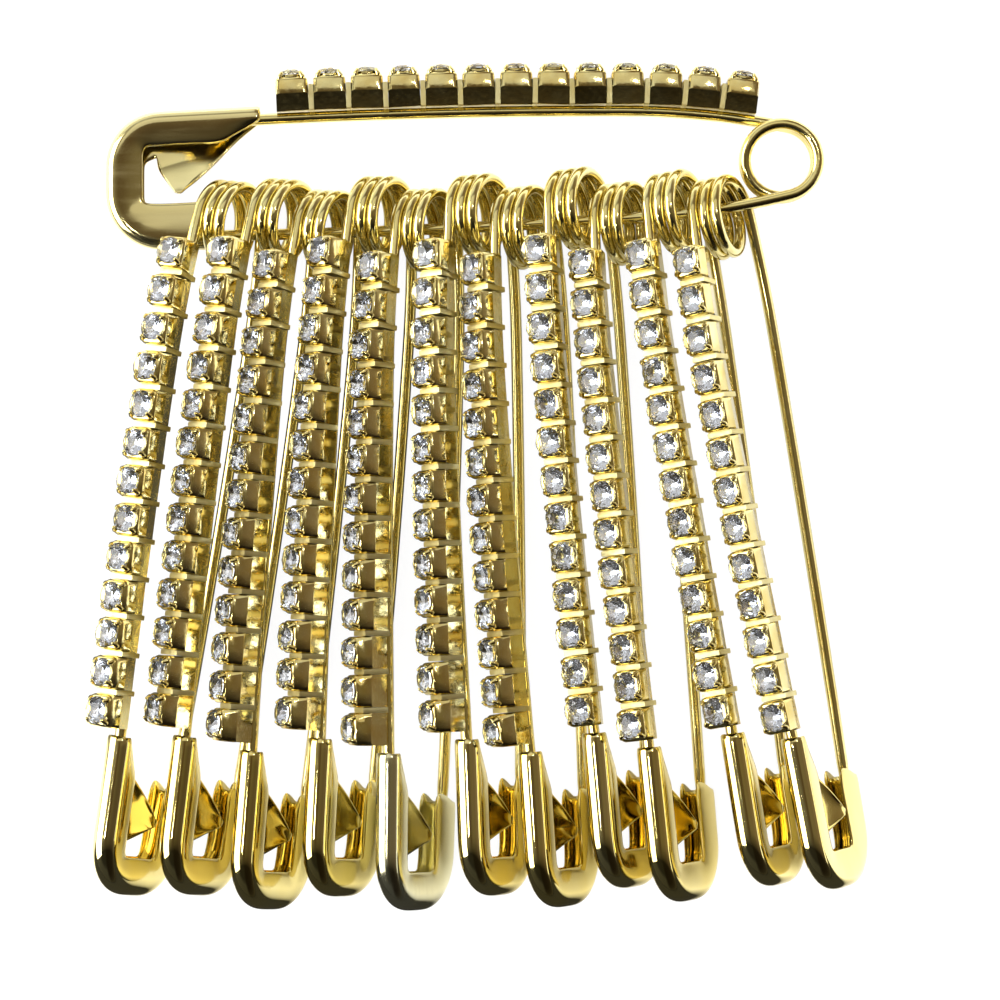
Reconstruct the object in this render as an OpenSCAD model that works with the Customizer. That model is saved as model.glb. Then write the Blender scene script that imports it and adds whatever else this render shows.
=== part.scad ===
/* [Wire and coil] */
// Diameter of the wire
wire_d = 1.2; // [1.1:0.05:1.25]
// Diameter of the coil, measured at the middle of the wire
coil_d = 7.6; // [7.4:0.1:8.2]
// Clear gap between two loops of the coil
loop_gap = 0.1; // [0.09:0.01:0.12]

/* [Pin] */
// Distance from the coil's centre to the centre of the cap's corners
reach = 65; // [62:1:70]
// Length of the spine's rise beside the coil
rise_l = 17; // [14:1:20]
// Slope of the spine where it leaves the coil
rise_deg = 11; // [9:0.5:12]
// Slope of the spine where it enters the cap
drop_deg = 3; // [2:0.5:4]
// Length of the needle's bend beside the coil
bend_l = 14; // [12:1:16]
// Slope of the needle where it leaves the coil
bend_deg = 14; // [12:0.5:15]
// Slope of the needle past its bend
bow_deg = 4; // [3.8:0.1:4.2]
// Slope of the needle's point
point_deg = 1; // [0.5:0.25:1.5]
// Length of the sharpened point
point_l = 5; // [3:0.5:7]

/* [Cap] */
// Thickness of the cap over its rounded rim
cap_t = 2.66; // [2.6:0.02:2.8]
// Thickness of the cap's sheet
sheet_t = 0.35; // [0.25:0.05:0.4]
// Radius of the corners, measured at the middle of the rim
corner_r = 4.6; // [4:0.2:5]
// Length of the cap's arm on the spine
arm_l = 10.6; // [10:0.2:12]
// Width of the cap's arm on the spine
arm_w = 2.5; // [2:0.1:3]
// Length of the cap's arm over the needle's point
lip_l = 5.4; // [4.5:0.1:6.5]
// Width of the cap's arm over the needle's point
lip_w = 4.1; // [3.5:0.1:4.5]
// Width of the cap's side between its arms
side_w = 2.7; // [2.4:0.1:3.2]
// Height of the guard tab
tab_h = 4.9; // [4:0.1:5.2]
// Forward tilt of the guard tab
tab_deg = 20; // [15:1:22]

/* [Setting and stones] */
// Most stones on each pin; a short spine holds fewer
stones = 13; // [5:1:13]
// Distance from one stone to the next
stone_pitch = 3.9; // [3.7:0.01:3.92]
// Diameter of a stone
stone_d = 2.84; // [2.4:0.02:2.86]
// Width of a cup across the strip
cup_w = 3.2; // [3.1:0.05:3.3]
// Shift of the strip across the wire, away from the pin's back
strip_shift = 0.25; // [0:0.05:0.3]
// Gap between the upper parts of two cups
cup_gap = 0.5; // [0.3:0.05:0.55]
// Height of a cup over the strip's base
cup_h = 2.05; // [1.9:0.05:2.2]
// Height of the strip's base
base_h = 1.8; // [1.4:0.1:2]
// Height of the prongs over the cup's rim
prong_h = 0.4; // [0.2:0.05:0.5]
// Diameter of a prong
prong_d = 0.5; // [0.4:0.05:0.55]

/* [Bunch] */
// Distance between the two hung coils of a close pair
near_pitch = 4.76; // [4.76:0.01:4.8]
// Distance from a close pair of hung coils to the next
far_pitch = 5.53; // [5.53:0.01:5.6]
// Distance from the carrier's coil to the nearest hung coil
hang_start = 6.3; // [6.3:0.1:7]
// Height of the carrier's middle plane over the floor
carrier_z = 3.4; // [3.3:0.05:3.6]

/* [Hidden] */
$fn = 48;
carrier_at = [30.9, 33.95, carrier_z];
wire_r = wire_d / 2;
coil_r = coil_d / 2;
coil_pitch = wire_d + loop_gap;
wrap_deg = 900 - rise_deg - bend_deg;
coil_pieces = 5;
frame_pieces = 3;
piece_deg = wrap_deg / coil_pieces;
piece_step = coil_pitch * piece_deg / 360;
coil_h = coil_pitch * wrap_deg / 360;
loop_z = coil_h / 2;
ball_r = wire_r + 0.02;
split_deg = 3;
cap_z = 0.15;
floor_gap = 0.04;
slant_deg = atan((loop_z - cap_z) / (reach - arm_l));
seat_gap = 0.08;
glue_gap = 0.06;
lap = 0.15;
inset = 0.03;
channel_r = cap_t / 2 - sheet_t;

// The spine leaves the coil, rises along one arc and drops along a flatter one
spine_from = coil_r * [cos(90 - rise_deg), sin(90 - rise_deg)];
rise_r = rise_l / sin(rise_deg);
spine_top = spine_from + [-rise_l, rise_r * (1 - cos(rise_deg))];
drop_l = reach - arm_l + spine_top.x;
drop_r = drop_l / sin(drop_deg);
mouth = spine_top - [drop_l, drop_r * (1 - cos(drop_deg))];

// The needle leaves the coil, bends along one arc and bows along a flatter one
needle_from = coil_r * [sin(bend_deg), -cos(bend_deg)];
bend_r = bend_l / (sin(bend_deg) - sin(bow_deg));
bow_from = needle_from - bend_r * [sin(bend_deg) - sin(bow_deg), cos(bow_deg) - cos(bend_deg)];
straight_l = 8;
bow_r = (reach - straight_l + bow_from.x) / (sin(bow_deg) - sin(point_deg));
point_from = bow_from - bow_r * [sin(bow_deg) - sin(point_deg), cos(point_deg) - cos(bow_deg)];
needle_end_l = straight_l - 1.8;

// The cap's rim follows the spine above and the needle's point below
rim_top_y = mouth.y + 0.1 - arm_l * tan(drop_deg);
rim_low_y = point_from.y - 0.2;
corner_top = [-reach, rim_top_y - corner_r * cos(drop_deg)];
corner_low = [-reach, rim_low_y + corner_r];
side_l = corner_top.y - corner_low.y;
arm_from = corner_top + corner_r * [-sin(drop_deg), cos(drop_deg)];

// Hung pins from left to right: fan, turn from flat, coil over needle, roll of the strip's first cup,
// more roll with each cup
fan = 0;
turn = 1;
offset_y = 2;
roll = 3;
twist = 4;
HUNG = [
    [-9.2, 64, 1.3, 0, -0.7],
    [-8, 64, 1.4, -8, -1.4],
    [-5.8, 64, 0.1, -13, -2.1],
    [-4.2, 64, 1.4, -14, -1.8],
    [-1.8, 64, -0.1, -13, -2.6],
    [0.8, 64, 1.2, -8, -2.7],
    [2.6, 64, -0.3, -13, -1.7],
    [3.7, 64, 1.3, 4, 0],
    [4.6, 64, -0.5, 0, 0],
    [7.8, 64, 0.3, 0, 0],
    [9.3, 64, -0.9, 0, 0],
];

// Tilt and height of the spine at a place along it
function spine_tilt(x) = asin((x - spine_top.x) / (x > spine_top.x ? rise_r : drop_r));
function spine_y(x) = let(r = x > spine_top.x ? rise_r : drop_r) spine_top.y - r * (1 - cos(spine_tilt(x)));

// Tilt and height of the needle at a place along it
function bow_tilt(x) = asin(sin(bow_deg) + (x - bow_from.x) / bow_r);
function bend_tilt(x) = asin(sin(bow_deg) + (x - bow_from.x) / bend_r);
function needle_y(x) = x > bow_from.x
    ? bow_from.y + bend_r * (cos(bow_deg) - cos(bend_tilt(x)))
    : bow_from.y - bow_r * (cos(bow_tilt(x)) - cos(bow_deg));

// Height of a hung coil's centre, and the pitch that lays the cap's lip on the floor with it
coil_low_z = loop_z - coil_pitch * (180 - rise_deg) / 360;
function coil_z(i) = let(t = HUNG[i - 1][turn]) coil_r * sin(t) + coil_low_z * cos(t) + wire_r + floor_gap;
function lip_drop(i) = -rim_low_y * sin(HUNG[i - 1][turn]) + cap_t / 2 + floor_gap;
function pitch_deg(i) = asin((lip_drop(i) - coil_z(i)) / (reach - lip_l));
function hang_x(i) = -hang_start - ceil((11 - i) / 2) * near_pitch - floor((11 - i) / 2) * far_pitch;

// Pin 0 is the carrier, lying flat, and the others hang on its needle
module place(i) {
    if (i == 0) translate(carrier_at) children();
    else translate([
        carrier_at.x + hang_x(i),
        carrier_at.y + needle_y(hang_x(i)) + HUNG[i - 1][offset_y],
        coil_z(i),
    ])
        rotate([HUNG[i - 1][turn], pitch_deg(i), 90 + HUNG[i - 1][fan]])
            children();
}

module wire_arc(center, radius, from_deg, to_deg) {
    translate(center)
        rotate([0, 0, from_deg])
            rotate_extrude(angle = to_deg - from_deg)
                translate([radius, 0])
                    circle(r = wire_r);
}

// A little less than half a turn of the coil, tilted to climb like a helix
module coil_piece(k, sweep_deg = piece_deg) {
    climb_deg = atan(piece_step / 2 / (coil_r * sin(piece_deg / 2)));
    translate([0, 0, (k + 0.5) * piece_step - loop_z])
        rotate([-climb_deg, 0, 90 - rise_deg - piece_deg * (k + 0.5)])
            rotate([0, 0, -piece_deg / 2])
                rotate_extrude(angle = sweep_deg)
                    translate([coil_r, 0])
                        circle(r = wire_r);
}

// Rounds a joint of the wire, its poles inside the wire, whose slope is given
module joint_ball(at, slope_deg) {
    translate(at) rotate([0, 90, slope_deg]) sphere(r = ball_r);
}

module coil_ball(k) {
    a = 90 - rise_deg - piece_deg * k;
    joint_ball([coil_r * cos(a), coil_r * sin(a), k * piece_step - loop_z], a + 90);
}

module frame(i) {
    color("gold") place(i) {
        for (k = [0:frame_pieces - 1]) {
            coil_piece(k);
            coil_ball(k);
        }
        translate([0, 0, -loop_z]) rotate([0, slant_deg, 0]) {
            wire_arc(spine_top - [0, rise_r], rise_r, 90 - rise_deg, 90);
            joint_ball(spine_top, 0);
            wire_arc(spine_top - [0, drop_r], drop_r, 90, 90 + drop_deg);
            joint_ball(mouth, drop_deg);
            translate(mouth)
                rotate([0, -90, drop_deg])
                    cylinder(r = wire_r, h = arm_l - 1.5);
        }
    }
}

module needle(i) {
    color("khaki") place(i) {
        coil_piece(frame_pieces, piece_deg - split_deg);
        for (k = [frame_pieces + 1:coil_pieces - 1]) {
            coil_piece(k);
            coil_ball(k);
        }
        coil_ball(coil_pieces);
        translate([0, 0, loop_z]) rotate([0, -slant_deg, 0]) {
            wire_arc(needle_from + bend_r * [-sin(bend_deg), cos(bend_deg)], bend_r,
                bow_deg - 90, bend_deg - 90);
            wire_arc(bow_from + bow_r * [-sin(bow_deg), cos(bow_deg)], bow_r,
                point_deg - 90, bow_deg - 90);
            joint_ball(bow_from, bow_deg);
            joint_ball(point_from, point_deg);
            translate(point_from) rotate([0, -90, point_deg]) {
                cylinder(r = wire_r, h = needle_end_l - point_l);
                translate([0, 0, needle_end_l - point_l])
                    cylinder(r1 = wire_r, r2 = 0.1, h = point_l);
            }
        }
    }
}

// Half a ring, the section of the cap's rounded rim
module rim_section() {
    difference() {
        circle(r = cap_t / 2);
        circle(r = channel_r);
        translate([-cap_t, -cap_t]) square([cap_t, 2 * cap_t]);
    }
}

module rim_straight(from, facing_deg, length) {
    translate(from)
        rotate([90, 0, facing_deg])
            linear_extrude(length) rim_section();
}

module rim_corner(center, from_deg, to_deg) {
    translate(center)
        rotate([0, 0, from_deg])
            rotate_extrude(angle = to_deg - from_deg)
                translate([corner_r, 0]) rim_section();
}

// Points of a corner's arc, a little past the middle of the rim
function corner_points(center, from_deg, to_deg) = [
    for (k = [0:8])
        let(a = from_deg + (to_deg - from_deg) * k / 8)
        center + (corner_r + lap) * [cos(a), sin(a)]
];

// A short sleeve, a hair thicker than the wall, over a joint of the rim
module rim_sleeve(at, facing_deg) {
    translate(at)
        rotate([90, 0, facing_deg])
            linear_extrude(4 * lap, center = true)
                difference() {
                    circle(r = cap_t / 2 + inset / 2);
                    circle(r = channel_r - inset / 2);
                    translate([-cap_t - lap, -cap_t]) square([cap_t, 2 * cap_t]);
                }
}

function rim_x(share) = -reach + share * arm_l;
function rim_y(share) = rim_top_y + share * arm_l * tan(drop_deg);

// Inner edge of the front sheet on the spine's arm: share of its length, share of its width
ARM_EDGE = [[0.95, 0.2], [0.8, 0.55], [0.6, 1], [0.4, 0.98], [0.1, 0.98]];

window_x = -reach - corner_r + side_w;
lip_y = rim_low_y + lip_w;

function sheet_outline(arm_edge) = concat(
    [[rim_x(1) - lap, rim_y(1) + lap]],
    corner_points(corner_top, 90 + drop_deg, 180),
    corner_points(corner_low, 180, 270),
    [[-reach + lip_l - lap, rim_low_y - lap]],
    [[-reach + lip_l + 0.8, lip_y - 0.75], [-reach + lip_l - 0.9, lip_y], [window_x, lip_y - 0.3]],
    arm_edge
);

front_edge = concat(
    [[window_x, corner_top.y + 1.4]],
    [for (k = [len(ARM_EDGE) - 1:-1:0])
        [rim_x(ARM_EDGE[k].x), rim_y(ARM_EDGE[k].x) - ARM_EDGE[k].y * arm_w]]
);

// The guard tab folds forward along a line from its heel to the mouth of the cap
tab_heel = [window_x, corner_top.y + 0.6];
tab_toe = [rim_x(0.95), rim_y(0.95) - 0.2 * arm_w];
tab_run = tab_toe - tab_heel;
tab_l = norm(tab_run);
tab_turn = atan2(tab_run.y, tab_run.x);
// Edge of the tab: share of its length, share of its height
TAB_EDGE = [[0.08, 0.1], [0.16, 1], [0.42, 0.82], [0.58, 0.6], [0.76, 0.3], [0.97, 0]];

// The flat sheets are a little thinner than the rim's wall, which they run into
plate_t = sheet_t - 2 * inset;
plate_z = channel_r + inset;

module sheet(outline, z) {
    translate([0, 0, z])
        linear_extrude(plate_t) polygon(outline);
}

module cap(i) {
    color("goldenrod") place(i) {
        rim_straight(arm_from, 90 + drop_deg, arm_l);
        rim_corner(corner_top, 90 + drop_deg, 180);
        rim_straight([-reach - corner_r, corner_low.y], 180, side_l);
        rim_corner(corner_low, 180, 270);
        rim_straight([-reach + lip_l, rim_low_y], 270, lip_l);
        rim_sleeve(arm_from, 90 + drop_deg);
        rim_sleeve([-reach - corner_r, corner_top.y], 180);
        rim_sleeve([-reach - corner_r, corner_low.y], 180);
        rim_sleeve([-reach, rim_low_y], 270);
        sheet(sheet_outline(front_edge), plate_z);
        sheet(sheet_outline([tab_heel, tab_toe]), -plate_z - plate_t);
        translate([tab_heel.x, tab_heel.y, -plate_z - plate_t])
            rotate([0, 0, tab_turn])
                rotate([-tab_deg, 0, 0])
                    linear_extrude(plate_t)
                        polygon(concat([[0.08 * tab_l, 0.3], [0.97 * tab_l, 0.3]],
                            [for (k = [len(TAB_EDGE) - 1:-1:0])
                                [TAB_EDGE[k].x * tab_l, -TAB_EDGE[k].y * tab_h]]));
    }
}

carrier_start = 4.4;
hung_start = 5.4;
cup_l = stone_pitch - cup_gap;
// A strip ends this far short of the cap
strip_room = 0.25;
function strip_from(i) = -(i == 0 ? carrier_start : hung_start);
function cup_roll(i, k) = i == 0 ? 0 : HUNG[i - 1][roll] + k * HUNG[i - 1][twist];
function cups(i) = min(stones, 1 + floor(
    (reach - arm_l + strip_from(i) - cup_l / 2 - strip_room) / stone_pitch));

// Copies along the spine's outer side, each square to the wire
module along_spine(i) {
    place(i)
        translate([0, 0, -loop_z])
            rotate([0, slant_deg, 0])
                for ($cup = [0:cups(i) - 1])
                    let(x = strip_from(i) - $cup * stone_pitch)
                    translate([x, spine_y(x), 0])
                        rotate([0, 0, -spine_tilt(x)])
                            rotate([cup_roll(i, $cup), 0, 0])
                                translate([0, wire_r + glue_gap, strip_shift])
                                    children();
}

module setting(i) {
    prong_at = (stone_d / 2 + seat_gap + prong_d / 2 + inset) * cos(45);
    tie_l = cup_gap + 4 * lap;
    color("darkkhaki") along_spine(i) {
        difference() {
            union() {
                if ($cup < cups(i) - 1)
                    translate([-(stone_pitch + tie_l) / 2, 2 * inset, 2 * inset - cup_w / 2])
                        cube([tie_l, base_h - 2 * inset, cup_w - 4 * inset]);
                translate([-cup_l / 2, 0, -cup_w / 2])
                    cube([cup_l, base_h + cup_h, cup_w]);
                for (sx = [-1, 1], sz = [-1, 1])
                    translate([sx * prong_at, base_h, sz * prong_at])
                        rotate([-90, 0, 0])
                            cylinder(d = prong_d, h = cup_h + prong_h);
            }
            translate([0, base_h + cup_h - 1.6, 0])
                rotate([-90, 0, 0])
                    cylinder(d = stone_d + 2 * seat_gap, h = 3);
        }
    }
}

// Eight corners of a stone at a height over its girdle
function ring(r, h) = [for (k = [0:7]) let(a = 45 * (k + 0.5)) [r * cos(a), h, r * sin(a)]];

module stone_set(i) {
    crown_h = 0.21 * stone_d;
    table_r = 0.28 * stone_d;
    depth = 0.46 * stone_d;
    color("aliceblue") along_spine(i)
        translate([0, base_h + cup_h - 0.05, 0])
            polyhedron(
                concat(ring(stone_d / 2, 0), ring(table_r, crown_h), [[0, -depth, 0]]),
                concat(
                    [for (k = [0:7]) [k, (k + 1) % 8, 8 + (k + 1) % 8, 8 + k]],
                    [for (k = [0:7]) [(k + 1) % 8, k, 16]],
                    [[for (k = [0:7]) 8 + k]]
                )
            );
}

for (i = [0:11]) {
    frame(i);
    needle(i);
    cap(i);
    setting(i);
    stone_set(i);
}
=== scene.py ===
import math
import random

import bmesh
import bpy
from mathutils import Matrix, Vector


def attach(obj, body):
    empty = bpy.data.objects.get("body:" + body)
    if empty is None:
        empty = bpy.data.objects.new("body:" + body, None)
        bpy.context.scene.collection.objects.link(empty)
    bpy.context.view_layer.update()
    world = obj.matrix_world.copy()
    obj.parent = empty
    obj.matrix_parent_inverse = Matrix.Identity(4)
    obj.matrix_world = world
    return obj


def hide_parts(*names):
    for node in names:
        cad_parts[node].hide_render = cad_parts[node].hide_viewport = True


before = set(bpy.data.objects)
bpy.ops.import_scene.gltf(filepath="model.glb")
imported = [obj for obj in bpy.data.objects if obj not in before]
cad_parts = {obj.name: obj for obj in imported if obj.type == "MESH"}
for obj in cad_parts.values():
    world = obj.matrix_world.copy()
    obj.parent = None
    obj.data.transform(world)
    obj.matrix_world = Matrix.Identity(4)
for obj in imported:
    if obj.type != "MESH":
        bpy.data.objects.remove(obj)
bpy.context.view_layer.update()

rad = math.radians
mm = 0.001                      # masters are modelled in millimetres, copies are placed in metres
hair = 0.01                     # millimetres: places nearer than this count as the same
weld = 0.002                    # millimetres: corners nearer than this are merged
bpy.context.scene.view_settings.view_transform = "Standard"


# selecting and shaping, as by hand
def deselectAll():
    bpy.ops.object.select_all(action="DESELECT")


def selectOnly(obj):
    deselectAll()
    obj.select_set(True)
    bpy.context.view_layer.objects.active = obj


def startEdit(obj):
    selectOnly(obj)
    bpy.ops.object.mode_set(mode="EDIT")
    bpy.ops.mesh.select_mode(type="VERT")


def endEdit():
    bpy.ops.object.mode_set(mode="OBJECT")


def pick(obj, wanted):
    # selects the vertices that pass the test, with the edges and faces between them
    bpy.ops.mesh.select_all(action="DESELECT")
    mesh = bmesh.from_edit_mesh(obj.data)
    mesh.verts.ensure_lookup_table()
    for v in mesh.verts:
        v.select = bool(wanted(v))
    mesh.select_flush_mode()
    bmesh.update_edit_mesh(obj.data)


def pickFaces(obj, wanted):
    # selects the faces that pass the test
    bpy.ops.mesh.select_mode(type="FACE")
    bpy.ops.mesh.select_all(action="DESELECT")
    mesh = bmesh.from_edit_mesh(obj.data)
    for f in mesh.faces:
        if wanted(f):
            f.select = True
    bmesh.update_edit_mesh(obj.data)


def pickEdges(obj, wanted):
    # selects the edges whose two ends pass the test
    bpy.ops.mesh.select_mode(type="EDGE")
    bpy.ops.mesh.select_all(action="DESELECT")
    mesh = bmesh.from_edit_mesh(obj.data)
    for e in mesh.edges:
        if wanted(*[v.co for v in e.verts]):
            e.select = True
    mesh.select_flush_mode()
    bmesh.update_edit_mesh(obj.data)


def spin(degrees, centre, steps=1):
    # positive is anticlockwise seen from above
    bpy.ops.mesh.spin(steps=steps, angle=-rad(degrees), center=centre, axis=(0, 0, 1))


def extrude(x, y, z=0):
    bpy.ops.mesh.extrude_region_move(TRANSFORM_OT_translate={"value": (x, y, z)})


def applyModifier(obj, kind, **values):
    selectOnly(obj)
    modifier = obj.modifiers.new(kind, kind)
    for name, value in values.items():
        setattr(modifier, name, value)
    bpy.ops.object.modifier_apply(modifier=modifier.name)


def named(name):
    # the primitive just added, with its place and size kept in its mesh
    obj = bpy.context.object
    obj.name = obj.data.name = name
    bpy.ops.object.transform_apply(location=True, rotation=True, scale=True)
    return obj


def tidyShell(obj, smoothAngle):
    # merges doubled corners, turns the faces outwards and smooths up to an angle
    startEdit(obj)
    bpy.ops.mesh.select_all(action="SELECT")
    bpy.ops.mesh.remove_doubles(threshold=weld)
    bpy.ops.mesh.normals_make_consistent(inside=False)
    endEdit()
    if smoothAngle:
        bpy.ops.object.shade_smooth_by_angle(angle=rad(smoothAngle))


# sizes in millimetres and angles in degrees, as the CAD has them, but for the cap's thinner sheet
wire = {
    "radius": 0.6,
    "sides": 16,
    "smoothAngle": 50,
    "coilRadius": 3.8,
    "loopPitch": 1.3,
    "frameTurn": 525,            # degrees of the coil that belong to the spine's wire
    "wholeTurn": 875,
    "split": 3,
    "tongue": 7,                 # the needle's wire reaches back into the frame's, so that no slit shows
    "tongueStep": 0.5,           # the end of the tongue, where it swells to the wire's full width
    "tongueWidth": 0.96,
    "stepDegrees": 7.5,
    "tightSteps": 10, "slackSteps": 8,       # faces along the bends beside the coil, and along the long ones
    "endInCap": 1.5,             # the spine's wire ends this far before the arm's far end
}
pin = {
    "reach": 65,
    "riseLength": 17, "riseSlope": 11, "dropSlope": 3,
    "bendLength": 14, "bendSlope": 14, "bowSlope": 4, "pointSlope": 1,
    "pointLength": 5, "straightLength": 8,
    "pointShort": 1.8,           # the point ends this far before the middle of the cap's corners
    # shares of the point's length, and the width that is left after each
    "pointTaper": [(0.3, 0.86), (0.3, 0.62), (0.25, 0.34), (0.15, 0.1)],
}
capSize = {
    "thickness": 2.66, "sheet": 0.3, "cornerRadius": 4.6,
    "armLength": 10.6, "sideWidth": 2.7, "lipLength": 5.4,
    "overSpine": 0.1, "underPoint": 0.2,     # from the wires to the middle of the rim
}
bunch = {
    "carrierAt": (30.9, 33.95, 3.4),
    "nearPitch": 4.76, "farPitch": 5.53, "hangStart": 6.3,
    "floorGap": 0.04,
    "capZ": 0.15,
    # fan, turn, coil over the needle, roll of the strip's first cup, more roll with each cup
    "hung": [
        (-9.2, 64, 1.3, 0, -0.7), (-8, 64, 1.4, -8, -1.4), (-5.8, 64, 0.1, -13, -2.1),
        (-4.2, 64, 1.4, -14, -1.8), (-1.8, 64, -0.1, -13, -2.6), (0.8, 64, 1.2, -8, -2.7),
        (2.6, 64, -0.3, -13, -1.7), (3.7, 64, 1.3, 4, 0), (4.6, 64, -0.5, 0, 0),
        (7.8, 64, 0.3, 0, 0), (9.3, 64, -0.9, 0, 0),
    ],
}
strip = {
    "stones": 13, "pitch": 3.9, "stoneRadius": 1.42, "cupLength": 3.4, "cupWidth": 3.2,
    "baseHeight": 1.8, "cupHeight": 2.05, "shift": 0.25, "lift": 0.66, "carrierStart": 4.4, "hungStart": 5.4,
    # no cup or stone sits quite straight: the most that each is turned by
    "cupRoll": 1.5, "cupTurn": 1, "stoneTurn": 45, "stoneTilt": 3, "seed": 11,
}


def sind(a):
    return math.sin(rad(a))


def cosd(a):
    return math.cos(rad(a))


# the pin's bends, with the middle of its coil at the origin and the spine running to the left
coilHeight = wire["loopPitch"] * wire["wholeTurn"] / 360
loopZ = coilHeight / 2
slant = math.degrees(math.atan((loopZ - bunch["capZ"]) / (pin["reach"] - capSize["armLength"])))
coilRadius = wire["coilRadius"]
spineFrom = Vector((coilRadius * sind(pin["riseSlope"]), coilRadius * cosd(pin["riseSlope"]), 0))
riseRadius = pin["riseLength"] / sind(pin["riseSlope"])
spineTop = spineFrom + Vector((-pin["riseLength"], riseRadius * (1 - cosd(pin["riseSlope"])), 0))
dropLength = pin["reach"] - capSize["armLength"] + spineTop.x
dropRadius = dropLength / sind(pin["dropSlope"])
mouth = spineTop - Vector((dropLength, dropRadius * (1 - cosd(pin["dropSlope"])), 0))
needleFrom = coilRadius * Vector((sind(pin["bendSlope"]), -cosd(pin["bendSlope"]), 0))
bendRadius = pin["bendLength"] / (sind(pin["bendSlope"]) - sind(pin["bowSlope"]))
bowFrom = needleFrom - bendRadius * Vector((
    sind(pin["bendSlope"]) - sind(pin["bowSlope"]), cosd(pin["bowSlope"]) - cosd(pin["bendSlope"]), 0))
bowLength = pin["reach"] - pin["straightLength"] + bowFrom.x
bowRadius = bowLength / (sind(pin["bowSlope"]) - sind(pin["pointSlope"]))
pointFrom = bowFrom - bowRadius * Vector((
    sind(pin["bowSlope"]) - sind(pin["pointSlope"]), cosd(pin["pointSlope"]) - cosd(pin["bowSlope"]), 0))
rimTopY = mouth.y + capSize["overSpine"] - capSize["armLength"] * math.tan(rad(pin["dropSlope"]))
rimLowY = pointFrom.y - capSize["underPoint"]
cornerRadius = capSize["cornerRadius"]
cornerTop = Vector((-pin["reach"], rimTopY - cornerRadius * cosd(pin["dropSlope"]), 0))
cornerLow = Vector((-pin["reach"], rimLowY + cornerRadius, 0))
armFrom = cornerTop + cornerRadius * Vector((-sind(pin["dropSlope"]), cosd(pin["dropSlope"]), 0))
armDirection = Vector((cosd(pin["dropSlope"]), sind(pin["dropSlope"]), 0))


def spineTilt(x):
    # the slope of the spine at x, in radians
    return math.asin((x - spineTop.x) / (riseRadius if x > spineTop.x else dropRadius))


def spineY(x):
    radius = riseRadius if x > spineTop.x else dropRadius
    return spineTop.y - radius * (1 - math.cos(spineTilt(x)))


def needleY(x):
    if x > bowFrom.x:
        tilt = math.asin(sind(pin["bowSlope"]) + (x - bowFrom.x) / bendRadius)
        return bowFrom.y + bendRadius * (cosd(pin["bowSlope"]) - math.cos(tilt))
    tilt = math.asin(sind(pin["bowSlope"]) + (x - bowFrom.x) / bowRadius)
    return bowFrom.y - bowRadius * (math.cos(tilt) - cosd(pin["bowSlope"]))


def turned(axis, degrees):
    return Matrix.Rotation(rad(degrees), 4, axis)


def placeOf(i):
    # pin 0 is the carrier, lying flat, and the others hang on its needle
    at = Vector(bunch["carrierAt"])
    if i == 0:
        return Matrix.Scale(mm, 4) @ Matrix.Translation(at)
    fan, turn, over = bunch["hung"][i - 1][:3]
    after = len(bunch["hung"]) - i           # how many pins hang to the right of this one
    x = -bunch["hangStart"] - math.ceil(after / 2) * bunch["nearPitch"] - after // 2 * bunch["farPitch"]
    coilLow = loopZ - wire["loopPitch"] * (180 - pin["riseSlope"]) / 360
    coilZ = coilRadius * sind(turn) + coilLow * cosd(turn) + wire["radius"] + bunch["floorGap"]
    lipDrop = -rimLowY * sind(turn) + capSize["thickness"] / 2 + bunch["floorGap"]
    pitch = math.degrees(math.asin((lipDrop - coilZ) / (pin["reach"] - capSize["lipLength"])))
    return (Matrix.Scale(mm, 4) @ Matrix.Translation((at.x + x, at.y + needleY(x) + over, coilZ))
            @ turned("Z", 90 + fan) @ turned("Y", pitch) @ turned("X", turn))


# wires
def startRing(name, at, facing):
    # the wire's round end, ready to be drawn out
    deselectAll()
    bpy.ops.mesh.primitive_circle_add(vertices=wire["sides"], radius=wire["radius"], location=at,
                                      rotation=(rad(90), 0, rad(facing)))
    obj = named(name)
    startEdit(obj)
    bpy.ops.mesh.select_all(action="SELECT")
    return obj


def coilOn(degrees):
    # the wire goes round clockwise and climbs
    steps = max(1, round(degrees / wire["stepDegrees"]))
    for _ in range(steps):
        spin(-degrees / steps, (0, 0, 0))
        bpy.ops.transform.translate(value=(0, 0, wire["loopPitch"] * degrees / steps / 360))


def makeFrameWire():
    into = (capSize["armLength"] - wire["endInCap"]) * armDirection
    obj = startRing("frameWire", mouth - into, 90 + pin["dropSlope"])
    extrude(*into)
    spin(-pin["dropSlope"], spineTop - Vector((0, dropRadius, 0)), wire["slackSteps"])
    spin(-pin["riseSlope"], spineTop - Vector((0, riseRadius, 0)), wire["tightSteps"])
    bpy.ops.mesh.select_all(action="SELECT")
    bpy.ops.transform.rotate(value=-rad(slant), orient_axis="Y", center_override=(0, 0, 0))
    bpy.ops.transform.translate(value=(0, 0, -loopZ))
    count = len(bmesh.from_edit_mesh(obj.data).verts)
    pick(obj, lambda v: v.index >= count - wire["sides"])
    coilOn(wire["frameTurn"])
    bpy.ops.mesh.select_all(action="SELECT")
    bpy.ops.mesh.fill_holes(sides=0)
    endEdit()
    tidyShell(obj, wire["smoothAngle"])
    return obj


def onCoil(angle, degrees):
    # the middle of the wire after so many degrees of the coil
    return coilRadius * cosd(angle), coilRadius * sind(angle), wire["loopPitch"] * degrees / 360 - loopZ


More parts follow.
